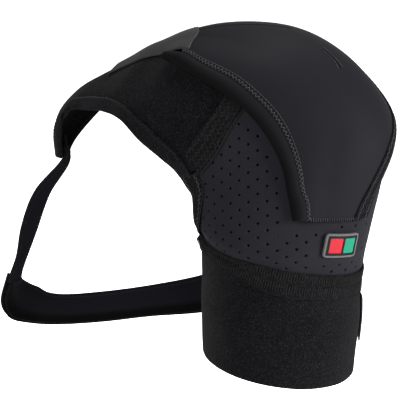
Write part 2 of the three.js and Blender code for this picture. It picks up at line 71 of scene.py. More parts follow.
# Each row: station, chest share, sleeve share, ridge (3), front edge (3) with its bulge and wrap
# in degrees, and the back edge the same
formRows = {
    "cuffHem": [0, 0, 1, 1, 0, 1, -0.6, -0.77, 0.93, 0.98, 232, -0.6, -0.77, 0.93, 0.98, 128],
    "cuffMiddle": [1, 0, 0.55, 1.06, 0, 1, -0.6, -0.78, 0.96, 1, 232, -0.6, -0.78, 0.96, 1, 128],
    "cuffTop": [2, 0, 0.22, 1.05, 0, 1.01, -0.6, -0.78, 0.93, 1, 232, -0.6, -0.78, 0.93, 1, 128],
    "cuffSeam": [2.75, 0, 0.05, 1.09, 0, 1, -0.6, -0.78, 0.94, 1, 232, -0.6, -0.78, 0.94, 1, 128],
    "armpit": [3, 0, 0, 1.1, 0, 1, -0.67, -0.73, 0.955, 1, 227, -0.57, -0.83, 0.965, 1, 128],
    "lowerSleeve": [4, 0, 0, 1.16, -0.02, 0.89, -1.03, 0, 0.88, 1.03, 185,
                    -0.44, -1.1, 0.9, 1.07, 126],
    "upperSleeve": [5, 0, 0, 1.27, -0.08, 0.7, -1.1, 0.12, 0.74, 1.07, 166,
                    -0.29, -1.47, 0.76, 1.2, 120],
    "shoulderSide": [6, 0, 0, 1.4, -0.13, 0.51, -1.18, 0.17, 0.69, 1.1, 150,
                     -0.13, -1.75, 0.61, 1.4, 112],
    "outerDome": [7, 0, 0, 1.26, -0.2, 0.35, -1.33, 0.13, 0.62, 1.13, 138,
                  -0.13, -1.88, 0.48, 1.53, 108],
    "upperDome": [8, 0, 0, 0.82, -0.33, 0.18, -1.52, 0.08, 0.57, 1.17, 126,
                  -0.21, -1.95, 0.36, 1.53, 104],
    "crown": [9, 0.25, 0, 0.87, -0.5, 0.07, -1.04, -0.08, 0.51, 1.13, 116,
              0.3, -1.87, 0.27, 1.33, 100],
    "collar": [10, 0.45, 0, 0.61, -0.7, 0.07, -0.7, -0.33, 0.44, 0.83, 106,
               0.48, -1.67, 0.21, 0.97, 98],
    "collarbone": [11, 0.65, 0, 0.41, -0.97, 0.15, -0.38, -0.67, 0.43, 0.5, 100,
                   0.5, -1.45, 0.23, 0.5, 96],
    "upperChest": [12, 0.75, 0, 0.31, -1.13, 0.23, -0.23, -0.83, 0.44, 0.4, 98,
                   0.29, -1.63, 0.36, 0.5, 96],
    "lowerChest": [13, 0.85, 0, 0.19, -1.33, 0.32, -0.07, -1, 0.45, 0.33, 96,
                   0.13, -1.83, 0.53, 0.5, 96],
    "panelEnd": [14, 0.95, 0, 0.12, -1.53, 0.41, 0.03, -1.17, 0.47, 0.33, 96,
                 0.12, -1.97, 0.66, 0.43, 96],
    "turn": [15, 1, 0, 0, -1.63, 0.55, 0.1, -1.32, 0.56, 0.3, 96, 0.14, -2.07, 0.74, 0.4, 96],
    "tip": [16, 1, 0, 0, -1.7, 0.73, 0.08, -1.42, 0.72, 0.27, 96, 0.08, -2.13, 0.8, 0.4, 96],
}
lastStation = 16


# A smooth curve through the values, one row for each place; the places rise
def splineThrough(places, values):
    places = np.asarray(places, float)
    values = np.asarray(values, float).reshape(len(places), -1)
    last = len(places) - 1

    def at(where):
        x = np.clip(np.atleast_1d(np.asarray(where, float)), places[0], places[-1])
        i = np.clip(np.searchsorted(places, x, side="right") - 1, 0, last - 1)
        low, high = places[i], places[i + 1]
        atStart, atEnd = i == 0, i == last - 1
        before = np.where(atStart, i + 1, i - 1)
        after = np.where(atEnd, i, np.minimum(i + 2, last))
        lowBefore = np.where(atStart, high, places[before])
        highAfter = np.where(atEnd, low, places[after])
        half = (high - low) / 2
        wPrev, wNext = half / (low - lowBefore), half / (highAfter - high)
        p = (x - low) / (high - low)
        p2, p3 = p * p, p * p * p
        mix = [
            -wPrev * p3 + 2 * wPrev * p2 - wPrev * p,
            (1 + wPrev) * p3 + (-1.5 - 2 * wPrev) * p2 + (-0.5 + wPrev) * p + 1,
            (-1 - wNext) * p3 + (1.5 + wNext) * p2 + 0.5 * p,
            wNext * p3 - wNext * p2,
        ]
        rows = [values[before], values[i], values[i + 1], values[after]]
        return sum(m[:, None] * r for m, r in zip(mix, rows))

    return at


def lineThrough(rows):
    spline = splineThrough([r[0] for r in rows], [r[1] for r in rows])
    return lambda where: spline(where)[:, 0]


formSpline = splineThrough([r[0] for r in formRows.values()],
                           [r[1:] for r in formRows.values()])


def formPoint(station, across):
    station, across = np.broadcast_arrays(
        np.atleast_1d(np.asarray(station, float)), np.atleast_1d(np.asarray(across, float)))
    row = formSpline(station)
    chest, sleeve = row[:, 0], row[:, 1]

    def place(first):
        return np.stack([
            formSize["armRadius"] * row[:, first] - formSize["chestReach"] * chest,
            -formSize["armDepth"] * row[:, first + 1],
            -formSize["shoulderDrop"] * row[:, first + 2] - formSize["sleeveLength"] * sleeve,
        ], -1)

    front = (across >= 0)[:, None]
    ridge = place(2)
    edge = np.where(front, place(5), place(10))
    bulge = formSize["armDepth"] * np.where(across >= 0, row[:, 8], -row[:, 13])
    wrap = np.radians(np.where(across >= 0, row[:, 9], row[:, 14]))
    turn = np.abs(across) * wrap
    reached = (1 - np.cos(turn)) / (1 - np.cos(wrap))
    point = ridge + (edge - ridge) * reached[:, None]
    point[:, 1] -= bulge * (np.sin(turn) - np.sin(wrap) * reached)
    return point


def formNormal(station, across):
    step = 0.01
    station, across = np.broadcast_arrays(
        np.atleast_1d(np.asarray(station, float)), np.atleast_1d(np.asarray(across, float)))
    along = (formPoint(np.minimum(station + step, lastStation), across)
             - formPoint(np.maximum(station - step, 0), across))
    over = (formPoint(station, np.minimum(across + step, 1))
            - formPoint(station, np.maximum(across - step, -1)))
    normal = np.cross(along, over)
    return normal / np.linalg.norm(normal, axis=1, keepdims=True)


def onForm(station, across, lift):
    lift = np.broadcast_to(np.asarray(lift, float), np.broadcast(station, across).shape)
    return formPoint(station, across) + formNormal(station, across) * np.atleast_1d(lift)[:, None]


seat = onForm(formSize["seatStation"], formSize["seatShare"], -formSize["clothWall"])[0]
turnCos, turnSin = math.cos(formSize["quarterTurn"]), math.sin(formSize["quarterTurn"])


# From the form's own frame, in millimetres, to the part's frame in metres
def toPart(points):
    p = (np.atleast_2d(points) - seat) / 1000
    return np.stack([p[:, 0] * turnCos - p[:, 1] * turnSin,
                     p[:, 0] * turnSin + p[:, 1] * turnCos, p[:, 2]], -1)


# Camera first: it looks at the arm's front from a little above

cameraSetup = {
    "target": (-64.0, 0.0, -142.0),
    "distance": 1150.0,
    "elevation": math.radians(18),
    "lens": 36 * 1437 / 400,
    "sensor": 36,
}


def addCamera():
    size = cameraSetup
    target = np.array(size["target"])
    eye = target + size["distance"] * np.array(
        [0, -math.cos(size["elevation"]), math.sin(size["elevation"])])
    eyePart, targetPart = (Vector(toPart(p)[0]) for p in (eye, target))
    data = bpy.data.cameras.new("camera")
    data.lens, data.sensor_width = size["lens"], size["sensor"]
    data.clip_end = 20
    camera = bpy.data.objects.new("camera", data)
    bpy.context.scene.collection.objects.link(camera)
    camera.location = eyePart
    camera.rotation_euler = (targetPart - eyePart).to_track_quat("-Z", "Y").to_euler()
    bpy.context.scene.camera = camera


addCamera()
print("camera set")


# Node groups shared by the cloths

def newGroup(name, inputs, outputs):
    group = bpy.data.node_groups.new(name, "ShaderNodeTree")
    for label, kind, value in inputs:
        socket = group.interface.new_socket(label, in_out="INPUT", socket_type=kind)
        socket.default_value = value
    for label, kind in outputs:
        group.interface.new_socket(label, in_out="OUTPUT", socket_type=kind)
    return group, group.nodes.new("NodeGroupInput"), group.nodes.new("NodeGroupOutput")


def addNode(tree, kind, **values):
    node = tree.nodes.new(kind)
    for key, value in values.items():
        setattr(node, key, value)
    return node


def mathNode(tree, operation, first, second=None, clamp=False):
    node = addNode(tree, "ShaderNodeMath", operation=operation, use_clamp=clamp)
    for index, source in enumerate((first, second)):
        if source is None:
            continue
        if isinstance(source, (int, float)):
            node.inputs[index].default_value = source
        else:
            tree.links.new(source, node.inputs[index])
    return node.outputs[0]


def mixColour(tree, factor, first, second):
    node = addNode(tree, "ShaderNodeMix", data_type="RGBA")
    for socket, source in ((0, factor), (6, first), (7, second)):
        if hasattr(source, "is_output"):
            tree.links.new(source, node.inputs[socket])
        else:
            node.inputs[socket].default_value = source
    return node.outputs[2]


# Napped loops: soft tufts, bright fibre specks and a mottled shade
def pileGroup():
    group, start, end = newGroup("loopPile", [
        ("Colour", "NodeSocketColor", (0.02, 0.02, 0.02, 1)),
        ("Speck", "NodeSocketColor", (0.1, 0.1, 0.1, 1)),
        ("Scale", "NodeSocketFloat", 900.0),
    ], [("Colour", "NodeSocketColor"), ("Height", "NodeSocketFloat"),
        ("Roughness", "NodeSocketFloat")])
    coords = addNode(group, "ShaderNodeTexCoord")
    tufts = addNode(group, "ShaderNodeTexNoise", noise_dimensions="3D")
    tufts.inputs["Detail"].default_value = 3
    tufts.inputs["Roughness"].default_value = 0.65
    specks = addNode(group, "ShaderNodeTexVoronoi", feature="F1")
    mottle = addNode(group, "ShaderNodeTexNoise")
    mottle.inputs["Scale"].default_value = 38
    mottle.inputs["Detail"].default_value = 3
    speckScale = mathNode(group, "MULTIPLY", start.outputs["Scale"], 0.7)
    for node in (tufts, specks, mottle):
        group.links.new(coords.outputs["Object"], node.inputs["Vector"])
    group.links.new(start.outputs["Scale"], tufts.inputs["Scale"])
    group.links.new(speckScale, specks.inputs["Scale"])
    near = mathNode(group, "SUBTRACT", 0.42, specks.outputs["Distance"], clamp=True)
    bright = mathNode(group, "MULTIPLY", near, 2.0, clamp=True)
    grain = mathNode(group, "SUBTRACT", tufts.outputs["Fac"], 0.5, clamp=True)
    grain = mathNode(group, "MULTIPLY", grain, 7.0, clamp=True)
    factor = mathNode(group, "MULTIPLY", bright, grain, clamp=True)
    factor = mathNode(group, "ADD", factor, mathNode(group, "MULTIPLY", grain, 0.45))
    shade = mathNode(group, "MULTIPLY", mottle.outputs["Fac"], 0.5, clamp=True)
    factor = mathNode(group, "ADD", factor, mathNode(group, "MULTIPLY", shade, 0.25), clamp=True)
    colour = mixColour(group, factor, start.outputs["Colour"], start.outputs["Speck"])
    height = mathNode(group, "ADD", tufts.outputs["Fac"],
                      mathNode(group, "MULTIPLY", bright, 0.5))
    rough = mathNode(group, "ADD", 0.82, mathNode(group, "MULTIPLY", grain, 0.14))
    group.links.new(colour, end.inputs["Colour"])
    group.links.new(height, end.inputs["Height"])
    group.links.new(rough, end.inputs["Roughness"])
    return group


# Fine knit on the piece's own map, in metres, with a soft cloud over the whole cloth: random tone
# that also stands in for the shading of soft folds, partly painted shade
def knitGroup():
    group, start, end = newGroup("fineKnit", [
        ("Colour", "NodeSocketColor", (0.03, 0.03, 0.03, 1)),
        ("Light", "NodeSocketColor", (0.06, 0.06, 0.06, 1)),
        ("Pitch", "NodeSocketFloat", 1300.0),
        ("Roughness", "NodeSocketFloat", 0.6),
    ], [("Colour", "NodeSocketColor"), ("Height", "NodeSocketFloat"),
        ("Roughness", "NodeSocketFloat")])
    coords = addNode(group, "ShaderNodeTexCoord")
    wales = addNode(group, "ShaderNodeTexWave", wave_type="BANDS", bands_direction="X")
    courses = addNode(group, "ShaderNodeTexWave", wave_type="BANDS", bands_direction="Y")
    for node in (wales, courses):
        group.links.new(coords.outputs["UV"], node.inputs["Vector"])
        group.links.new(start.outputs["Pitch"], node.inputs["Scale"])
        node.inputs["Distortion"].default_value = 1.2
        node.inputs["Detail"].default_value = 1
    # large soft cloud of random tone and painted fold shade
    foldShadeCloud = addNode(group, "ShaderNodeTexNoise")
    foldShadeCloud.inputs["Scale"].default_value = 22
    foldShadeCloud.inputs["Detail"].default_value = 4
    fibre = addNode(group, "ShaderNodeTexNoise")
    fibre.inputs["Scale"].default_value = 1500
    fibre.inputs["Detail"].default_value = 2
    for node in (foldShadeCloud, fibre):
        group.links.new(coords.outputs["Object"], node.inputs["Vector"])
    weave = mathNode(group, "MULTIPLY", wales.outputs["Fac"], courses.outputs["Fac"])
    factor = mathNode(group, "MULTIPLY", weave, 0.35)
    factor = mathNode(group, "ADD", factor, mathNode(group, "MULTIPLY", fibre.outputs["Fac"], 0.3))
    factor = mathNode(group, "ADD", factor, mathNode(group, "MULTIPLY", foldShadeCloud.outputs["Fac"], 0.25),
                      clamp=True)
    colour = mixColour(group, factor, start.outputs["Colour"], start.outputs["Light"])
    height = mathNode(group, "ADD", weave, mathNode(group, "MULTIPLY", fibre.outputs["Fac"], 0.6))
    rough = mathNode(group, "ADD", start.outputs["Roughness"],
                     mathNode(group, "MULTIPLY", fibre.outputs["Fac"], 0.1))
    group.links.new(colour, end.inputs["Colour"])
    group.links.new(height, end.inputs["Height"])
    group.links.new(rough, end.inputs["Roughness"])
    return group


groups = {"pile": pileGroup(), "knit": knitGroup()}


# Gloss is the specular level; bump is the relief's strength, and distance its depth in metres
def clothMaterial(name, groupName, values, bump, distance, sheen, gloss):
    material = bpy.data.materials.new(name)
    material.use_nodes = True
    tree = material.node_tree
    shader = tree.nodes["Principled BSDF"]
    effect = addNode(tree, "ShaderNodeGroup", node_tree=groups[groupName])
    for label, value in values.items():
        effect.inputs[label].default_value = value
    relief = addNode(tree, "ShaderNodeBump")
    relief.inputs["Strength"].default_value = bump
    relief.inputs["Distance"].default_value = distance
    tree.links.new(effect.outputs["Colour"], shader.inputs["Base Color"])
    tree.links.new(effect.outputs["Roughness"], shader.inputs["Roughness"])
    tree.links.new(effect.outputs["Height"], relief.inputs["Height"])
    tree.links.new(relief.outputs["Normal"], shader.inputs["Normal"])
    shader.inputs["Specular IOR Level"].default_value = gloss
    shader.inputs["Sheen Weight"].default_value = sheen
    shader.inputs["Sheen Roughness"].default_value = 0.5
    return material


def grey(value, blue=1.0):
    return (value, value, value * blue, 1)


# Finish: material name, dark and light colour, bump, depth in metres, sheen and gloss
pileFinishes = {  # with the scale of the tufts after the colours
    "pile": ("loopPile", grey(0.0004, 1.2), grey(0.0135, 1.15), 1080, 0.9, 0.0007, 0.025, 0.0),
    "band": ("bindingTape", grey(0.0012, 1.1), grey(0.0175, 1.08), 1000, 0.7, 0.0005, 0.004, 0.0),
    "badge": ("badgeRubber", grey(0.035), grey(0.075), 1800, 0.12, 0.0001, 0.0, 0.15),
    "badgeField": ("badgeField", grey(0.003), grey(0.008), 1800, 0.12, 0.0001, 0.0, 0.1),
    "badgeRed": ("badgeRed", (0.18, 0.007, 0.012, 1), (0.26, 0.018, 0.026, 1), 1800,
                 0.12, 0.0001, 0.0, 0.1),
    "badgeGreen": ("badgeGreen", (0.004, 0.085, 0.05, 1), (0.011, 0.14, 0.085, 1), 1800,
                   0.12, 0.0001, 0.0, 0.1),
}
knitFinishes = {  # with the pitch of the knit and its roughness after the colours
    "pierced": ("piercedCloth", grey(0.0046, 1.25), grey(0.0115, 1.22), 500, 0.7,
                0.25, 0.0002, 0.004, 0.01),
    "smooth": ("smoothKnit", grey(0.003, 1.25), grey(0.0066, 1.22), 900, 0.55,
               0.12, 0.00012, 0.006, 0.022),
    # the hem's knit is a darker copy of the cover's smooth knit: painted shade of the rolled hem
    "hem": ("hemKnitShaded", grey(0.002, 1.15), grey(0.0045, 1.15), 900, 0.6,
            0.12, 0.00012, 0.004, 0.02),
    "strap": ("strapCloth", grey(0.0016, 1.35), grey(0.0038, 1.3), 700, 0.6,
              0.2, 0.00015, 0.0, 0.01),
    "chestStrap": ("chestStrapCloth", grey(0.003, 1.25), grey(0.0075, 1.2), 700, 0.8,
                   0.2, 0.00015, 0.0, 0.0),
    "tab": ("tabFilm", grey(0.004, 1.1), grey(0.009, 1.1), 1100, 0.5, 0.1, 0.0001, 0.004, 0.06),
    "lining": ("liningCloth", grey(0.0012, 1.2), grey(0.0025, 1.2), 700, 0.8,
               0.1, 0.0001, 0.0, 0.01),
    "hook": ("hookFilm", grey(0.004), grey(0.02), 500, 0.45, 0.25, 0.0002, 0.01, 0.09),
    "thread": ("thread", grey(0.014), grey(0.044), 2500, 0.5, 0.2, 0.0001, 0.006, 0.05),
    "dimThread": ("dimThread", grey(0.0045), grey(0.0145), 2500, 0.6, 0.2, 0.0001, 0.0, 0.03),
}

materials = {}
for key, (name, dark, light, scale, *look) in pileFinishes.items():
    materials[key] = clothMaterial(name, "pile", {
        "Colour": dark, "Speck": light, "Scale": scale}, *look)
for key, (name, dark, light, pitch, rough, *look) in knitFinishes.items():
    materials[key] = clothMaterial(name, "knit", {
        "Colour": dark, "Light": light, "Pitch": pitch, "Roughness": rough}, *look)


# Paints shade onto the cloth towards one edge of its map: dark at one distance in metres, clear at
# the other
def paintShadeTowardsEdge(material, dark, clear):
    tree = material.node_tree
    coords = addNode(tree, "ShaderNodeTexCoord")
    split = addNode(tree, "ShaderNodeSeparateXYZ")
    tree.links.new(coords.outputs["UV"], split.inputs[0])
    rise = mathNode(tree, "SUBTRACT", split.outputs["Y"], dark)
    factor = mathNode(tree, "DIVIDE", rise, clear - dark, clamp=True)
    base = tree.nodes["Principled BSDF"].inputs["Base Color"]
    # the near-black grey is the painted shade mixed into the cloth's colour
    colour = mixColour(tree, factor, grey(0.0006), base.links[0].from_socket)
    tree.links.new(colour, base)


# painted shade along the underarm strap's lower edge
paintShadeTowardsEdge(materials["strap"], 0.011, 0.018)
# painted shade on the rolled hem's outer half, where it turns under towards the dark gap
paintShadeTowardsEdge(materials["hem"], 0.0095, 0.0035)
print("materials made")


# Building cloth walls on the form

def linkMesh(name, bm, material):
    mesh = bpy.data.meshes.new(name)
    bm.to_mesh(mesh)
    bm.free()
    for face in mesh.polygons:
        face.use_smooth = True
    mesh.materials.append(material)
    piece = bpy.data.objects.new(name, mesh)
    bpy.context.scene.collection.objects.link(piece)
    return piece


def applyModifiers(piece):
    graph = bpy.context.evaluated_depsgraph_get()
    mesh = bpy.data.meshes.new_from_object(piece.evaluated_get(graph))
    piece.modifiers.clear()
    piece.data = mesh


# A grid of two shares, s along and t across, laid on skin(s, t) in millimetres
def gridPiece(name, skin, segments, material, flat, looped=False):
    bm = bmesh.new()
    uv = bm.loops.layers.uv.new("cloth")
    bmesh.ops.create_grid(bm, x_segments=segments[0], y_segments=segments[1], size=0.5,
                          calc_uvs=True)
    for face in bm.faces:
        for loop in face.loops:
            loop[uv].uv = (loop[uv].uv.x * flat[0], loop[uv].uv.y * flat[1])
    shares = np.array([v.co[:2] for v in bm.verts]) + 0.5
    points, normals = skin(shares[:, 0], shares[:, 1])
    points = toPart(points)
    probe = toPart(normals + seat) * 1000
    for vert, point in zip(bm.verts, points):
        vert.co = point
    bm.normal_update()
    facing = sum(v.normal.dot(Vector(n)) for v, n in zip(bm.verts, probe))
    if facing < 0:
        bmesh.ops.reverse_faces(bm, faces=bm.faces[:])
    if looped:
        bmesh.ops.remove_doubles(bm, verts=bm.verts[:], dist=1e-5)
    return linkMesh(name, bm, material)


def giveWall(piece, wall, levels=1):
    solid = piece.modifiers.new("wall", "SOLIDIFY")
    solid.thickness = wall / 1000
    solid.offset = -1
    solid.use_even_offset = False
    if levels:
        smooth = piece.modifiers.new("smooth", "SUBSURF")
        smooth.levels = smooth.render_levels = levels
        smooth.boundary_smooth = "ALL"


# Soft waves of the cloth, in millimetres
def ripple(points, size, depth, seed=0.0):
    return np.array([noise.noise(Vector(p) / size + Vector((seed, 0, 0))) for p in points]) * depth


def skinBetweenStations(low, high, across, lift, wave=None):
    def skin(s, t):
        share = across[0] + (across[1] - across[0]) * t
        station = low(share) + (high(share) - low(share)) * s
        rise = lift(station, share) if callable(lift) else np.full(len(s), float(lift))
        if wave:
            rise = rise + ripple(formPoint(station, share), *wave)
        return onForm(station, share, rise), formNormal(station, share)
    return skin


def skinBetweenShares(stations, near, far, lift):
    def skin(s, t):
        station = stations[0] + (stations[1] - stations[0]) * s
        share = near(station) + (far(station) - near(station)) * t
        rise = lift(station, share, t) if callable(lift) else np.full(len(s), float(lift))
        return onForm(station, share, rise), formNormal(station, share)
    return skin


def constant(value):
    return lambda where: np.full(np.shape(np.atleast_1d(where)), float(value))


def finish(piece, nodes=()):
    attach(piece, "root")
    if nodes:
        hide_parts(*nodes)


# One cloth: its grid, its wall in millimetres, and the frame's parts that it stands in for, which
# are hidden
def makeCloth(name, skin, grid, finishName, flat, wall, nodes=(),
              levels=1, looped=False):
    piece = gridPiece(name, skin, grid, materials[finishName], flat, looped)
    giveWall(piece, wall, levels)
    finish(piece, nodes)


# Rows of thread laid along a line of the form

# Points and normals along a line of stations and shares
def alongForm(stations, shares, lift, count=400):
    station = np.linspace(stations[0], stations[-1], count)
    if callable(shares):
        share = shares(station)
    else:
        share = np.interp(station, stations, shares)
    return onForm(station, share, lift), formNormal(station, share)


def acrossForm(shares, stationOf, lift, count=400):
    share = np.linspace(shares[0], shares[1], count)
    station = stationOf(share)
    return onForm(station, share, lift), formNormal(station, share)


def spacedAlong(points, normals, pitch):
    steps = np.linalg.norm(np.diff(points, axis=0), axis=1)
    travelled = np.concatenate([[0], np.cumsum(steps)])
    places = np.arange(0, travelled[-1], pitch)
    spaced = np.stack([np.interp(places, travelled, points[:, k]) for k in range(3)], -1)
    facing = np.stack([np.interp(places, travelled, normals[:, k]) for k in range(3)], -1)
    return spaced, facing


stitchSize = {"sides": 5, "overrun": 1.04, "sunk": 0.4, "gaps": (0.14, 0.86)}


def addThread(bm, start, end, radius):
    middle = (start + end) / 2
    span = end - start
    turn = span.to_track_quat("Z", "Y").to_matrix().to_4x4()
    place = Matrix.Translation(middle) @ turn
    bmesh.ops.create_cone(bm, cap_ends=True, segments=stitchSize["sides"], radius1=radius,
                          radius2=radius, depth=span.length * stitchSize["overrun"], matrix=place)


# Thread along a line: one cord, a run, a zigzag or a ladder of cross threads
def stitchRow(name, line, pitch, width, pattern, radius, thread="thread"):
    radius = radius / 1000
    points, normals = spacedAlong(*line, pitch)
    world = toPart(points)
    facing = toPart(normals + seat) * 1000
    bm = bmesh.new()
    for i in range(len(world) - 1):
        here, ahead, up = Vector(world[i]), Vector(world[i + 1]), Vector(facing[i])
        side = (ahead - here).cross(up).normalized() * (width / 2000)
        lift = up.normalized() * radius * stitchSize["sunk"]
        if pattern == "cord":
            addThread(bm, here, ahead, radius)
        elif pattern == "run":
            first, second = (here.lerp(ahead, gap) for gap in stitchSize["gaps"])
            addThread(bm, first + lift, second + lift, radius)
        elif pattern == "zigzag":
            first, second = (side, -side) if i % 2 else (-side, side)
            addThread(bm, here + first + lift, ahead + second + lift, radius)
        else:
            addThread(bm, here + side + lift, here - side + lift, radius)
    piece = linkMesh(name, bm, materials[thread])
    finish(piece)
    return piece


# Seam lines, as in the part's form

seamLines = {
    "cuffBandLow": lineThrough([[-1, 2.2], [-0.5, 1.65], [-0.2, 1.6], [0, 1.7], [0.21, 1.88],
                                [0.45, 1.97], [0.59, 2.3], [0.68, 2.4], [1, 2.2]]),
    "cuffBandHigh": lineThrough([[-1, 2.9], [-0.6, 2.55], [-0.2, 2.45], [0.12, 2.58],
                                 [0.28, 2.76], [0.41, 2.98], [0.56, 3.26], [0.7, 3.34],
                                 [0.84, 3.15], [1, 2.9]]),
    "chestJoin": lineThrough([[-1, 9.5], [-0.35, 9.5], [0.2, 9.3], [0.45, 9], [0.62, 8.6],
                              [0.75, 8.05], [0.83, 7.5], [0.91, 6.85], [1, 6.45]]),
    "tapeLow": lineThrough([[0.5, 8.75], [0.62, 8.43], [0.69, 8.2], [0.75, 7.88], [0.83, 7.28],
                            [0.91, 6.6]]),
    "tapeHigh": lineThrough([[0.5, 9.2], [0.61, 8.9], [0.76, 8.5], [0.86, 8.1], [0.91, 7.8]]),
    "coverStitch": lineThrough([[4.7, 0.47], [5.2, 0.5], [5.65, 0.54], [6.15, 0.56],
                                [7.05, 0.57], [8.2, 0.56], [8.95, 0.54], [9.7, 0.51],
                                [10.2, 0.44], [10.6, 0.39]]),
    "coverHemEdge": lineThrough([[4.7, 0.52], [5.2, 0.555], [5.7, 0.59], [6.4, 0.61],
                                 [7.6, 0.62], [8.7, 0.61], [9.4, 0.6], [9.9, 0.57],
                                 [10.25, 0.52], [10.6, 0.46]]),
    "coverBackEdge": lineThrough([[4.5, 0.22], [5.2, 0.19], [5.8, 0.15], [6.15, 0.1], [6.6, 0],
                                  [7, -0.11], [7.5, -0.24], [8, -0.34], [9, -0.44],
                                  [10.6, -0.48]]),
    "coverBottom": lineThrough([[0, 4.56], [0.5, 4.66], [1, 4.76]]),
    "coverTop": lineThrough([[0, 10.45], [0.6, 10.42], [0.85, 10.36], [1, 10.22]]),
    "hemLoose": lineThrough([[4.6, 0.45], [6, 0.7], [8, 0.8], [9.2, 1], [10, 1.1], [10.6, 0.7]]),
    "hemStitch": lineThrough([[6.9, 0.93], [8, 0.92], [9.1, 0.92], [9.9, 0.92], [10.8, 0.87],
                              [11.9, 0.82], [13.4, 0.7], [15, 0.5], [15.95, 0.1]]),
    "hookTabEdge": lineThrough([[10.2, 0.41], [10.77, 0.36], [11.48, 0.33], [12.13, 0.29],
                                [12.65, 0.28]]),
}


def cuffJoin(share):
    return (seamLines["cuffBandLow"](share) + seamLines["cuffBandHigh"](share)) / 2


# The line at a part of the way from one seam line to another
def between(lowName, highName, part):
    def middle(share):
        low, high = seamLines[lowName](share), seamLines[highName](share)
        return low + (high - low) * part
    return middle


cuffSize = {
    "wall": 2.8, "seamGap": 0.06, "wave": (26, 0.5, 3.0),
    "bandLift": 0.3, "bandWall": 1.0, "bandRows": {"Low": 0.27, "High": 0.74},
    "bandRowShares": (-0.93, 0.9), "bandRowWidth": 6.6, "bandRowPitch": 2.1, "bandThread": 0.3,
    "closureLift": 0.6, "closureWall": 1.8, "stations": (0.55, 1.5), "across": (-0.45, 0.035),
}


def makeCuff():
    size = cuffSize
    makeCloth("cuffCloth", skinBetweenStations(
        constant(0), lambda share: cuffJoin(share) - size["seamGap"], (-1, 1), 0.0, size["wave"]),
        (44, 150), "pile", (0.11, 0.38), size["wall"], ["arm_cuff"],
        looped=True)
    top = size["bandLift"] + size["bandWall"]
    makeCloth("cuffBandCloth", skinBetweenStations(
        seamLines["cuffBandLow"], seamLines["cuffBandHigh"], (-1, 1), top),
        (12, 150), "band", (0.026, 0.39), size["bandWall"], ["cuff_seam_band"],
        looped=True)
    for label, part in size["bandRows"].items():
        row = between("cuffBandLow", "cuffBandHigh", part)
        stitchRow("cuffBandStitch" + label, acrossForm(size["bandRowShares"], row, top),
                  size["bandRowPitch"], size["bandRowWidth"], "ladder", size["bandThread"],
                  "dimThread")
    makeCloth("cuffClosureCloth", skinBetweenStations(
        constant(size["stations"][0]), constant(size["stations"][1]), size["across"],
        size["closureLift"] + size["closureWall"]),
        (26, 36), "hook", (0.045, 0.07), size["closureWall"], ["cuff_closure"])


panelSize = {
    "wall": 2.8, "backSeam": -0.36, "edge": 0.996, "holeRadius": 1.05, "rowPitch": 10.6,
    "columnPitch": 15.0, "rise": 0.29, "bow": 0.00232, "bowOut": -50.0, "middleOut": -20.0,
    "start": (6.28, 0.83),
    "margin": 0.12, "coverMargin": 0.015, "topStation": 8.4,
    "badgeStations": (3.3, 4.36), "badgeShares": (0.14, 0.41), "freeEdge": 2.5,
    "holeSides": 8, "cutterDepth": 9.0,
    "seamWall": 0.8, "seamWidth": 0.16, "seamSunk": 0.9,
    "cuffGap": 0.06, "chestGap": 0.015, "liningWall": 0.4, "liningGap": 0.25,
    "wave": (34, 1.1, 8.0), "backWave": (34, 0.9, 5.0), "chestWave": (30, 0.9, 2.0),
}


# Whether a hole here would show, clear of the band, the tape, the cover and the badge
def isBare(station, share):
    size, lines = panelSize, seamLines
    clearOfBand = station > lines["cuffBandHigh"](share)[0] + size["margin"]
    clearOfTape = share < 0.55 or station < lines["tapeLow"](share)[0] - size["margin"]
    underCover = station > 4.5 and share < lines["coverHemEdge"](station)[0] + size["coverMargin"]
    low, high = size["badgeStations"]
    near, far = size["badgeShares"]
    underBadge = low < station < high and near < share < far
    clearOfPieces = clearOfBand and clearOfTape and not underCover and not underBadge
    return clearOfPieces and station < size["topStation"]


# Rows of holes that rise and bow across the sleeve, staggered by half a column
def holePlaces():
    size = panelSize
    shares, stations = np.linspace(0.96, -0.33, 260), np.linspace(2.4, 8.6, 400)
    everyStation, everyShare = (g.ravel() for g in np.meshgrid(stations, shares))
    grid = formPoint(everyStation, everyShare).reshape(len(shares), len(stations), 3)
    past = grid[:, :, 0] - size["bowOut"]
    level = grid[:, :, 2] - size["rise"] * past + size["bow"] * past ** 2
    start = formPoint(*size["start"])[0]
    startPast = start[0] - size["bowOut"]
    startLevel = start[2] - size["rise"] * startPast + size["bow"] * startPast ** 2
    places = []
    for row in range(-14, 22):
        height = startLevel + row * size["rowPitch"] / 2
        line, found, arc = [], [], 0.0
        for index, share in enumerate(shares):
            station = float(np.interp(height, level[index], stations))
            point = formPoint(station, share)[0]
            arc += float(np.linalg.norm(point - line[-1])) if line else 0.0
            line.append(point)
            found.append((station, share, arc))
        out = np.array([point[0] for point in line])
        found = np.array(found)
        middle = np.interp(size["middleOut"], out, found[:, 2])
        fromMiddle = found[:, 2] - middle
        offset = size["columnPitch"] / 2 if row % 2 else 0.0
        for column in range(-8, 14):
            place = column * size["columnPitch"] + offset
            if fromMiddle[0] + size["freeEdge"] < place < fromMiddle[-1]:
                at = float(np.interp(place, fromMiddle, found[:, 0]))
                share = float(np.interp(place, fromMiddle, found[:, 1]))
                if isBare(at, share):
                    places.append((at, share))
    return places


def holeCutters(places):
    size = panelSize
    radius = size["holeRadius"] / 1000
    bm = bmesh.new()
    for station, share in places:
        middle = Vector(toPart(onForm(station, share, -size["wall"] / 2))[0])
        facing = Vector((toPart(formNormal(station, share) + seat) * 1000)[0])
        turn = facing.to_track_quat("Z", "Y").to_matrix().to_4x4()
        bmesh.ops.create_cone(bm, cap_ends=True, segments=size["holeSides"],
                              depth=size["cutterDepth"] / 1000, radius1=radius, radius2=radius,
                              matrix=Matrix.Translation(middle) @ turn)
    return linkMesh("holeCutters", bm, materials["pierced"])


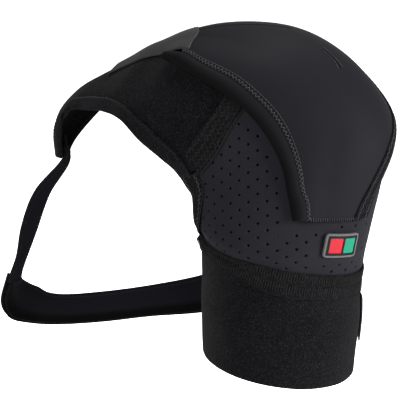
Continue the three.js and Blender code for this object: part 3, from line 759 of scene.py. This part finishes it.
def makePanels():
    size = panelSize

    def fromCuff(gap):
        return lambda share: cuffJoin(share) + gap

    def toChest(gap):
        return lambda share: seamLines["chestJoin"](share) - gap

    sleeve = gridPiece("piercedCloth", skinBetweenStations(
        fromCuff(size["cuffGap"]), toChest(size["chestGap"]), (size["backSeam"], size["edge"]),
        0.0, size["wave"]), (90, 130), materials["pierced"], (0.2, 0.25))
    giveWall(sleeve, size["wall"], levels=0)
    cutters = holeCutters(holePlaces())
    holes = sleeve.modifiers.new("holes", "BOOLEAN")
    holes.operation = "DIFFERENCE"
    holes.solver = "FAST"
    holes.object = cutters
    applyModifiers(sleeve)
    bpy.data.objects.remove(cutters)
    makeCloth("sleeveLining", skinBetweenStations(
        fromCuff(0.15), toChest(0.1), (size["backSeam"] + 0.01, size["edge"] - 0.012),
        -size["wall"] - size["liningGap"], size["wave"]),
        (60, 90), "lining", (0.2, 0.25), size["liningWall"],
        levels=0)
    for label, line in (("Chest", seamLines["chestJoin"]), ("Cuff", cuffJoin)):
        makeCloth("seamInside" + label, skinBetweenStations(
            lambda share: line(share) - size["seamWidth"],
            lambda share: line(share) + size["seamWidth"],
            (-0.99, 0.99), -size["wall"] - size["seamSunk"]),
            (6, 140), "band", (0.012, 0.3), size["seamWall"],
            levels=0)
    finish(sleeve, ["perforated_panel"])
    makeCloth("backCloth", skinBetweenStations(
        fromCuff(size["cuffGap"]), toChest(size["chestGap"]),
        (-size["edge"], size["backSeam"] - 0.004), 0.0, size["backWave"]),
        (80, 56), "smooth", (0.2, 0.12), size["wall"], ["back_panel"])
    makeCloth("chestCloth", skinBetweenStations(
        toChest(-size["chestGap"]), constant(lastStation), (-size["edge"], size["edge"]),
        0.0, size["chestWave"]),
        (96, 66), "pile", (0.26, 0.16), size["wall"], ["chest_panel"])


seamSize = {
    "lift": 0.8, "wall": 1.2, "edge": 0.996,
    "hemStations": (6.6, 15.95), "hemRaise": 0.3, "rowInset": 0.012,
    "tipStation": 15.62, "tipReach": 0.36, "tipMiddle": -2.4, "tipHalf": 4.4,
    "tipStart": 0.97, "tipSpan": 1.8, "innerRow": ((12.4, 15.7), -0.93, -3.2),
    "bindingStations": (2.95, 6.75), "bindingShare": 0.905, "bindingOuterRow": 0.975,
    "tapeShares": (0.54, 0.905), "tapeRowShares": (0.55, 0.9), "tapeRowPitch": 2.1,
    "tapeRows": {"Low": 0.1, "Middle": 0.36, "Upper": 0.62, "High": 0.88},
    "cutShares": (0.56, 0.9), "cutGap": 0.035, "cutSunk": 0.2, "cutThread": 0.4,
    "sideStations": (3.4, 6.4), "sideGap": 0.004,
}


def makeSeams():
    size = seamSize
    top = size["lift"] + size["wall"]
    makeCloth("chestHemCloth", skinBetweenShares(
        size["hemStations"], seamLines["hemStitch"], constant(size["edge"]),
        top + size["hemRaise"]),
        (150, 8), "pile", (0.19, 0.012), size["wall"], ["chest_panel_hem"])
    stitchRow("chestHemStitch", alongForm(
        size["hemStations"], lambda station: seamLines["hemStitch"](station) + size["rowInset"],
        top), 1.9, 1.6, "zigzag", 0.24)
    makeCloth("frontBindingCloth", skinBetweenShares(
        size["bindingStations"], constant(size["bindingShare"]), constant(size["edge"]), top),
        (70, 10), "band", (0.06, 0.02), size["wall"], ["front_edge_binding"])
    for name, share, width, thread in (
            ("frontBindingStitch", size["bindingShare"] + size["rowInset"], 2.4, 0.26),
            ("frontBindingEdge", size["bindingOuterRow"], 2.2, 0.24)):
        stitchRow(name, alongForm(size["bindingStations"], constant(share), top), 2.0, width,
                  "zigzag", thread)

    # The tip's cloth is turned over the edge in half a circle
    def tipSkin(s, t):
        turn = math.pi * t
        station = size["tipStation"] + size["tipReach"] * np.sin(turn)
        share = size["tipStart"] - size["tipSpan"] * s
        rise = size["tipMiddle"] + size["tipHalf"] * np.cos(turn)
        return onForm(station, share, rise), formNormal(station, share)

    makeCloth("chestTipCloth", tipSkin, (40, 14), "band", (0.045, 0.02), size["wall"])
    stations, share, lift = size["innerRow"]
    stitchRow("chestInnerStitch", alongForm(stations, constant(share), lift), 2.2, 1.6,
              "zigzag", 0.24, "dimThread")
    makeCloth("seamTapeCloth", skinBetweenStations(
        seamLines["tapeLow"], seamLines["tapeHigh"], size["tapeShares"], top),
        (14, 70), "band", (0.016, 0.08), size["wall"], ["panel_seam_tape"])
    for label, part in size["tapeRows"].items():
        row = between("tapeLow", "tapeHigh", part)
        stitchRow("seamTapeStitch" + label, acrossForm(size["tapeRowShares"], row, top),
                  size["tapeRowPitch"], 2.8, "zigzag", 0.26, "dimThread")
    cutLift = top - size["cutSunk"]
    for name, line in (
            ("panelCutEdge", acrossForm(
                size["cutShares"],
                lambda share: seamLines["tapeLow"](share) - size["cutGap"], cutLift)),
            ("panelSideEdge", alongForm(
                size["sideStations"], constant(size["bindingShare"] - size["sideGap"]),
                cutLift))):
        stitchRow(name, line, 2.0, 1.0, "cord", size["cutThread"], "dimThread")


coverSize = {
    "lift": 1.0, "wall": 2.4, "wave": (48, 0.7, 11.0), "hemFrom": 0.72, "hemOpening": 4.5,
    "hemRoll": 4.4, "hemSunk": 0.6, "hemInside": 0.006, "hemWall": 0.55, "topStation": 10.55,
    "hemRowStations": (4.78, 10.25), "hemRowLift": 0.45,
    "topRow": (9.0, 10.4), "topRowShare": 0.0,
    "bindingWidth": 0.078, "bindingWall": 1.2, "bindingInset": -0.004, "bindingStart": 4.6,
    "bindingSpan": 4.6, "bindingGap": 0.05, "bindingRowStations": (4.62, 9.15),
    "bindingRows": {"Inner": 0.058, "Outer": 0.016}, "bottomShares": (0.02, 0.99),
}

# How high the rolled hem stands at each share of its width
hemRollShape = lineThrough([[0, 0.62], [0.12, 0.86], [0.4, 1.12], [0.7, 1.0], [0.9, 0.6], [1, 0.2]])


# The cover lies on the form and opens towards its front hem; reached runs from back to hem
def coverLift(station, reached):
    size = coverSize
    x = np.clip((reached - size["hemFrom"]) / 0.28, 0, 1)
    opening = size["hemOpening"] * seamLines["hemLoose"](station)
    return size["lift"] + opening * x * x * (3 - 2 * x)


def coverShare(station, reached):
    back = seamLines["coverBackEdge"](station)
    return back + (seamLines["coverStitch"](station) - back) * reached


def reachedAt(station, share):
    back = seamLines["coverBackEdge"](station)
    return (share - back) / (seamLines["coverStitch"](station) - back)


def coverRise(station, reached):
    wave = ripple(formPoint(station, coverShare(station, reached)), *coverSize["wave"])
    return coverLift(station, reached) + coverSize["wall"] + wave


def onCover(station, reached, lift=0.0):
    share = coverShare(station, reached)
    return (onForm(station, share, coverRise(station, reached) + lift),
            formNormal(station, share))


def coverSkin(s, t):
    bottom, top = seamLines["coverBottom"](t), seamLines["coverTop"](t)
    return onCover(bottom + (top - bottom) * s, t)


def makeCover():
    size, lines = coverSize, seamLines
    makeCloth("coverCloth", coverSkin, (92, 82), "smooth", (0.19, 0.17), size["wall"],
              ["shoulder_cover"])

    def hemSkin(s, t):
        low = lines["coverBottom"](1)[0]
        station = low + (size["topStation"] - low) * s
        near = lines["coverStitch"](station) - size["hemInside"]
        share = near + (lines["coverHemEdge"](station) - near) * t
        rise = coverLift(station, 1.0) - size["hemSunk"] + size["hemRoll"] * hemRollShape(t)
        return onForm(station, share, rise), formNormal(station, share)

    makeCloth("coverHemCloth", hemSkin, (170, 12), "hem", (0.2, 0.01),
              size["hemRoll"] * size["hemWall"], ["cover_front_hem"])
    along = np.linspace(*size["hemRowStations"], 400)
    for label, reached, pitch, width, pattern in (
            ("", 0.985, 1.7, 2.4, "zigzag"), ("Inner", 0.97, 2.9, 1.0, "run")):
        stitchRow("coverHemStitch" + label, onCover(along, reached, size["hemRowLift"]), pitch,
                  width, pattern, 0.3)
    # the dark cord of lining cloth along the dart's middle is painted shade standing in for the
    # groove's shadow; the runs beside it are real thread
    for label, stations, shares, pattern, thread in (
            ("Upper", (8.03, 8.2, 8.5), (0.165, 0.135, 0.1), "run", "thread"),
            ("GrooveShade", (8.04, 8.2, 8.5), (0.178, 0.146, 0.11), "cord", "lining"),
            ("Lower", (8.06, 8.2, 8.5), (0.192, 0.158, 0.12), "run", "thread")):
        along = np.linspace(stations[0], stations[-1], 200)
        share = np.interp(along, stations, shares)
        dart = onCover(along, reachedAt(along, share), 0.15)
        stitchRow("coverDart" + label, dart, 1.6, 1.0, pattern, 0.35, thread)
    along = np.linspace(*size["topRow"], 300)
    topRow = onCover(along, reachedAt(along, size["topRowShare"]), 0.2)
    stitchRow("coverTopStitch", topRow, 2.2, 1.4, "zigzag", 0.25, "dimThread")

    def onBinding(station, inset):
        reached = reachedAt(station, lines["coverBackEdge"](station) + inset)
        return onCover(station, reached, size["bindingWall"] + size["bindingGap"])

    def bindingSkin(s, t):
        return onBinding(size["bindingStart"] + size["bindingSpan"] * s,
                         size["bindingWidth"] * t + size["bindingInset"])

    makeCloth("coverBindingCloth", bindingSkin, (120, 8), "band", (0.18, 0.01),
              size["bindingWall"], ["cover_back_binding"])
    along = np.linspace(*size["bindingRowStations"], 400)
    for label, inset in size["bindingRows"].items():
        stitchRow("coverBindingStitch" + label, onBinding(along, inset), 2.2, 1.4, "zigzag", 0.22)
    reached = np.linspace(*size["bottomShares"], 300)
    # the dark cord of lining cloth along the lower edge is painted shade of the edge's wall; the
    # ladder above it is real thread
    for label, up, lift, width, pattern, radius, thread in (
            ("Edge", 0.004, 0.0, 1.0, "cord", 0.55, "lining"),
            ("Stitch", 0.035, 0.3, 2.6, "ladder", 0.34, "thread")):
        stitchRow("coverBottom" + label, onCover(lines["coverBottom"](reached) + up, reached, lift),
                  2.0, width, pattern, radius, thread)


hookSize = {
    "lift": 0.8, "wall": 1.2, "back": -0.42, "ends": (12.2, 12.65), "overlap": 0.1,
    "descent": 0.6, "sunk": 0.3, "rowSpan": (0.02, 0.98), "edgeRow": 0.975, "endRow": 0.03,
}


# The tab starts on the cover's upper end and comes down to the chest panel
def hookSkin(s, t):
    size, lines = hookSize, seamLines
    coverEnd = lines["coverTop"](t)
    start = coverEnd - size["overlap"]
    end = size["ends"][0] + (size["ends"][1] - size["ends"][0]) * t
    station = start + (end - start) * s
    share = size["back"] + (lines["hookTabEdge"](station) - size["back"]) * t
    past = np.clip((station - coverEnd) / size["descent"], 0, 1)
    over = 1 - past * past * (3 - 2 * past)
    low = size["lift"] + size["wall"]
    high = coverRise(coverEnd, reachedAt(coverEnd, share)) + size["wall"] - size["sunk"]
    return onForm(station, share, low + over * (high - low)), formNormal(station, share)


def makeHookTab():
    size = hookSize
    makeCloth("hookTabCloth", hookSkin, (44, 32), "hook", (0.06, 0.07), size["wall"],
              ["hook_tab"])
    s = np.linspace(*size["rowSpan"], 300)
    for label, line in (("Edge", hookSkin(s, np.full(300, size["edgeRow"]))),
                        ("End", hookSkin(np.full(300, size["endRow"]), s))):
        stitchRow("hookTabStitch" + label, line, 2.4, 1.0, "run", 0.22)


# The strap loop

loopSize = {
    "reach": 247.0, "depth": 226.0, "drop": 338.0, "wall": 2.6, "gap": 1.4, "tabWall": 1.8,
    "corner": 5.05 / 17, "hookTab": (4.7 / 17, 7.6 / 17), "tabMargin": 0.03, "bow": 0.5,
    "chestSunk": 0.12, "chestPast": 0.0015, "underStart": 0.0012, "rowGap": 0.004,
    "rowLift": 0.25, "rowThread": 0.28, "endStations": (4.3, 5.3), "endLift": 0.8,
    "endShares": (-0.155, -0.11, -0.035),
}
# Each row: the lower edge, then the upper edge, as shares of reach, depth and drop
loopRows = {
    "belowTip": [-0.84, -0.43, 0.49, -0.81, -0.63, 0.54],
    "chestSide": [-0.9, -0.5, 0.6, -0.87, -0.69, 0.66],
    "aboveCorner": [-0.93, -0.56, 0.7, -0.94, -0.75, 0.8],
    "corner": [-0.97, -0.59, 0.78, -0.94, -0.76, 0.815],
    "cornerLow": [-1, -0.63, 0.86, -0.91, -0.78, 0.835],
    "cornerTurn": [-0.98, -0.67, 0.91, -0.88, -0.8, 0.85],
    "farSide": [-0.91, -0.74, 0.945, -0.85, -0.82, 0.87],
    "farBack": [-0.81, -0.85, 0.98, -0.79, -0.87, 0.89],
    "backLeft": [-0.65, -0.95, 1, -0.64, -0.95, 0.903],
    "backMiddle": [-0.46, -1, 0.997, -0.46, -1, 0.897],
    "backRight": [-0.255, -1, 0.985, -0.255, -1, 0.865],
    "backRise": [-0.07, -0.8, 0.9, -0.08, -0.8, 0.76],
    "shoulderRise": [0.12, -0.49, 0.73, 0.11, -0.49, 0.59],
}
# Each row: station of the lower and of the upper edge, share across of both, and lift in mm;
# the start lies inside the chest panel's tip, and the end outside the sleeve's back
loopStart = [(15.35, 15.35, 0.8, -0.75, -6.98), (15.95, 15.95, 0.85, -0.78, -6.98)]
loopEnd = [(4.05, 5.3, -0.35, -0.35, 6.0), (4.15, 5.35, -0.25, -0.25, 2.1),
           (4.2, 5.4, -0.18, -0.18, 2.1)]


# The same curve through points as the part's straps follow
def curveThrough(points):
    points = np.asarray(points, float)
    ends = [2 * points[0] - points[1], *points, 2 * points[-1] - points[-2]]

    def at(share):
        place = np.clip(np.atleast_1d(share), 0, 1) * (len(points) - 1)
        index = np.minimum(place.astype(int), len(points) - 2)
        found = []
        for i, weight in zip(index, place - index):
            p0, p1, p2, p3 = ends[i:i + 4]
            d0, d1, d2 = (max(np.linalg.norm(b - a) ** 0.5, 1e-4)
                          for a, b in ((p0, p1), (p1, p2), (p2, p3)))
            t1 = ((p1 - p0) / d0 - (p2 - p0) / (d0 + d1) + (p2 - p1) / d1) * d1
            t2 = ((p2 - p1) / d1 - (p3 - p1) / (d1 + d2) + (p3 - p2) / d2) * d1
            c2, c3 = -3 * p1 + 3 * p2 - 2 * t1 - t2, 2 * p1 - 2 * p2 + t1 + t2
            found.append(p1 + t1 * weight + c2 * weight ** 2 + c3 * weight ** 3)
        return np.array(found)

    return at


def loopEdge(column):
    scale = np.array([loopSize["reach"], -loopSize["depth"], -loopSize["drop"]])
    first = [onForm(r[column], r[2 + column], r[4])[0] for r in loopStart]
    middle = [np.array(r[3 * column:3 * column + 3]) * scale for r in loopRows.values()]
    last = [onForm(r[column], r[2 + column], r[4])[0] for r in loopEnd]
    return curveThrough([*first, *middle, *last])


lowerEdge, upperEdge = loopEdge(0), loopEdge(1)


def loopSkin(start, end, lift, margin=0.0, sag=0.0):
    def skin(s, t):
        along = start + (end - start) * s
        across = margin + (1 - 2 * margin) * t

        def at(share):
            low, high = lowerEdge(share), upperEdge(share)
            return low + (high - low) * across[:, None]

        step = 0.002
        forward = at(np.minimum(along + step, 1)) - at(np.maximum(along - step, 0))
        over = upperEdge(along) - lowerEdge(along)
        normal = np.cross(forward, over)
        normal /= np.linalg.norm(normal, axis=1, keepdims=True)
        bow = sag * (1 - (2 * across - 1) ** 2)
        return at(along) + normal * (lift + bow)[:, None], normal
    return skin


def loopLine(start, end, share, lift):
    s = np.linspace(0, 1, 500)
    return loopSkin(start, end, lift)(s, np.full(500, share))


def makeStraps():
    size = loopSize
    half = size["wall"] / 2
    makeCloth("chestStrapCloth", loopSkin(
        0, size["corner"] + size["chestPast"], half - size["chestSunk"], sag=size["bow"]),
        (100, 16), "chestStrap", (0.19, 0.045), size["wall"], ["chest_strap"])
    makeCloth("underarmStrapCloth", loopSkin(
        size["corner"] + size["underStart"], 1, half, sag=size["bow"]),
        (260, 16), "strap", (0.52, 0.045), size["wall"], ["underarm_strap"])
    afterCorner, beforeCorner = size["corner"] + size["rowGap"], size["corner"] - size["rowGap"]
    for name, start, end, share, pitch in (
            ("underarmStitchLow", afterCorner, 0.97, 0.07, 2.4),
            ("underarmStitchHigh", afterCorner, 0.97, 0.9, 3.0),
            ("chestStrapStitch", 0.03, beforeCorner, 0.1, 3.0)):
        stitchRow(name, loopLine(start, end, share, half + size["rowLift"]), pitch, 1.0, "run",
                  size["rowThread"], "dimThread")
    makeCloth("strapTabCloth", loopSkin(
        *size["hookTab"], -half - size["gap"] / 2, margin=size["tabMargin"]),
        (60, 20), "tab", (0.06, 0.04), size["tabWall"], ["strap_hook_tab"])
    low, high = size["endStations"]
    back, nearLow, nearHigh = size["endShares"]
    makeCloth("backTabCloth", skinBetweenShares(
        (low, high), constant(back), lineThrough([[low, nearLow], [high, nearHigh]]),
        size["endLift"] + size["wall"]),
        (24, 14), "hook", (0.035, 0.02), size["wall"], ["back_strap_tab"])


# The badge: a rounded rubber plate with a raised rim and two plain blocks

badgeSize = {
    "upperFront": (4.45, 0.39), "upperBack": (4.27, 0.23), "lowerFront": (3.85, 0.36),
    "lowerBack": (3.43, 0.17), "width": 32.0, "height": 19.0, "corner": 2.8, "tilt": 0.04,
    "shift": (-3.0, 2.6),
    "lift": 0.8, "wall": 2.2, "rim": 1.5, "rimWall": 0.35, "rimRise": 0.5, "rimSoft": 0.28,
    "blockGap": 0.05, "blockRise": 0.55, "blockCorner": 0.9, "blockSoft": 0.2,
    "redBlock": (-6.3, 11.6, 11.8), "greenBlock": (6.9, 10.4, 11.8),
}


def softenEdges(piece, width):
    soft = piece.modifiers.new("soft", "BEVEL")
    soft.width = width / 1000
    soft.segments = 2
    soft.limit_method = "ANGLE"


def makeBadge():
    size = badgeSize
    corners = [onForm(*size[name], size["lift"])[0]
               for name in ("upperFront", "upperBack", "lowerFront", "lowerBack")]
    middle = sum(corners) / 4
    side = corners[1] + corners[3] - corners[0] - corners[2]
    side /= np.linalg.norm(side)
    up = corners[0] + corners[1] - corners[2] - corners[3]
    up = up - side * up.dot(side)
    up /= np.linalg.norm(up)
    normal = np.cross(up, side)
    station, share = np.mean([size["upperFront"], size["lowerBack"]], axis=0)
    if normal.dot(formNormal(station, share)[0]) < 0:
        normal = -normal
    side, up = (side * math.cos(size["tilt"]) + up * math.sin(size["tilt"]),
                up * math.cos(size["tilt"]) - side * math.sin(size["tilt"]))
    middle = (onForm(station, share, size["lift"])[0] + side * size["shift"][0]
              + up * size["shift"][1])

    # Lays flat points, in millimetres, round the sleeve
    def bent(bm):
        radius = formSize["armRadius"]
        for vert in bm.verts:
            x, y, z = vert.co
            angle = x / radius
            spot = (middle + side * (radius + z) * math.sin(angle) + up * y
                    + normal * ((radius + z) * math.cos(angle) - radius))
            vert.co = toPart(spot)[0]

    def plate(bm, width, height, corner, low, high, centre=(0, 0)):
        bmesh.ops.create_grid(bm, x_segments=12, y_segments=8, size=0.5)
        for vert in bm.verts:
            vert.co = Vector((centre[0] + vert.co.x * width, centre[1] + vert.co.y * height, low))
        corners = [v for v in bm.verts if len(v.link_edges) == 2]
        bmesh.ops.bevel(bm, geom=corners, affect="VERTICES", offset=corner, segments=5,
                        profile=0.5, material=-1)
        grown = bmesh.ops.extrude_face_region(bm, geom=bm.faces[:])
        raised = [g for g in grown["geom"] if isinstance(g, bmesh.types.BMVert)]
        bmesh.ops.translate(bm, verts=raised, vec=(0, 0, high - low))
        bmesh.ops.recalc_face_normals(bm, faces=bm.faces[:])
        return [f for f in bm.faces if all(abs(v.co.z - high) < 1e-6 for v in f.verts)]

    bm = bmesh.new()
    top = plate(bm, size["width"], size["height"], size["corner"], 0, size["wall"])
    bmesh.ops.inset_region(bm, faces=top, thickness=size["rim"], depth=0)
    inner = [f for f in top if f.is_valid]
    for face in inner:
        face.material_index = 1
    bmesh.ops.inset_region(bm, faces=inner, thickness=size["rimWall"], depth=-size["rimRise"])
    bent(bm)
    bmesh.ops.recalc_face_normals(bm, faces=bm.faces[:])
    piece = linkMesh("badgePlate", bm, materials["badge"])
    piece.data.materials.append(materials["badgeField"])
    softenEdges(piece, size["rimSoft"])
    finish(piece, ["badge_plate"])
    floor = size["wall"] - size["rimRise"]
    for name, node, slotName, finishName, block in (
            ("badgeRedBlock", "badge_red_block", "badge_red", "badgeRed", size["redBlock"]),
            ("badgeGreenBlock", "badge_green_block", "badge_green", "badgeGreen",
             size["greenBlock"])):
        x, width, height = block
        bm = bmesh.new()
        plate(bm, width, height, size["blockCorner"], floor + size["blockGap"],
              floor + size["blockRise"], (x, 0))
        bent(bm)
        bmesh.ops.recalc_face_normals(bm, faces=bm.faces[:])
        piece = linkMesh(name, bm, materials[finishName])
        softenEdges(piece, size["blockSoft"])
        finish(piece, [node])


for label, make in (("cuff", makeCuff), ("panels", makePanels), ("seams", makeSeams),
                    ("cover", makeCover), ("hook tab", makeHookTab), ("straps", makeStraps),
                    ("badge", makeBadge)):
    make()
    print(label, "made")


# Studio: a pale floor below the part, a bright room that fills the cloth less, and three lamps

studio = {
    "floorDrop": 0.06, "floorSize": 6.0, "floorShade": 0.9, "glow": 0.85,
    "world": 1.05, "fill": 0.36, "lampSize": 0.5,
}
lamps = {  # place in millimetres in the form's own frame, and power
    "keyLight": ((900, -500, 140), 36.0),
    "frontLight": ((-620, -640, 480), 14.0),
    "topLight": ((60, 260, 900), 17.0),
}


def addStudio():
    low = Vector(cadBox[0])
    bm = bmesh.new()
    bmesh.ops.create_grid(bm, x_segments=1, y_segments=1, size=studio["floorSize"])
    for vert in bm.verts:
        vert.co.z = low.z - studio["floorDrop"]
    material = bpy.data.materials.new("paleFloor")
    material.use_nodes = True
    shader = material.node_tree.nodes["Principled BSDF"]
    shader.inputs["Base Color"].default_value = grey(studio["floorShade"])
    shader.inputs["Roughness"].default_value = 0.9
    shader.inputs["Emission Color"].default_value = (1, 1, 1, 1)
    shader.inputs["Emission Strength"].default_value = studio["glow"]
    floor = linkMesh("floor", bm, material)
    world = bpy.data.worlds.new("room")
    world.use_nodes = True
    tree = world.node_tree
    seen = tree.nodes["Background"]
    fill = addNode(tree, "ShaderNodeBackground")
    for node, strength in ((seen, studio["world"]), (fill, studio["fill"])):
        node.inputs["Color"].default_value = (1, 1, 1, 1)
        node.inputs["Strength"].default_value = strength
    path = addNode(tree, "ShaderNodeLightPath")
    both = addNode(tree, "ShaderNodeMixShader")
    tree.links.new(path.outputs["Is Camera Ray"], both.inputs[0])
    tree.links.new(fill.outputs[0], both.inputs[1])
    tree.links.new(seen.outputs[0], both.inputs[2])
    tree.links.new(both.outputs[0], tree.nodes["World Output"].inputs["Surface"])
    bpy.context.scene.world = world
    aim = Vector(toPart(np.array(cameraSetup["target"]))[0])
    for name, (place, power) in lamps.items():
        data = bpy.data.lights.new(name, "AREA")
        data.size = studio["lampSize"]
        data.energy = power
        lamp = bpy.data.objects.new(name, data)
        bpy.context.scene.collection.objects.link(lamp)
        lamp.location = Vector(toPart(np.array(place, float))[0])
        lamp.rotation_euler = (aim - lamp.location).to_track_quat("-Z", "Y").to_euler()
    bpy.context.scene.view_settings.view_transform = "Standard"


addStudio()
print("studio lit")
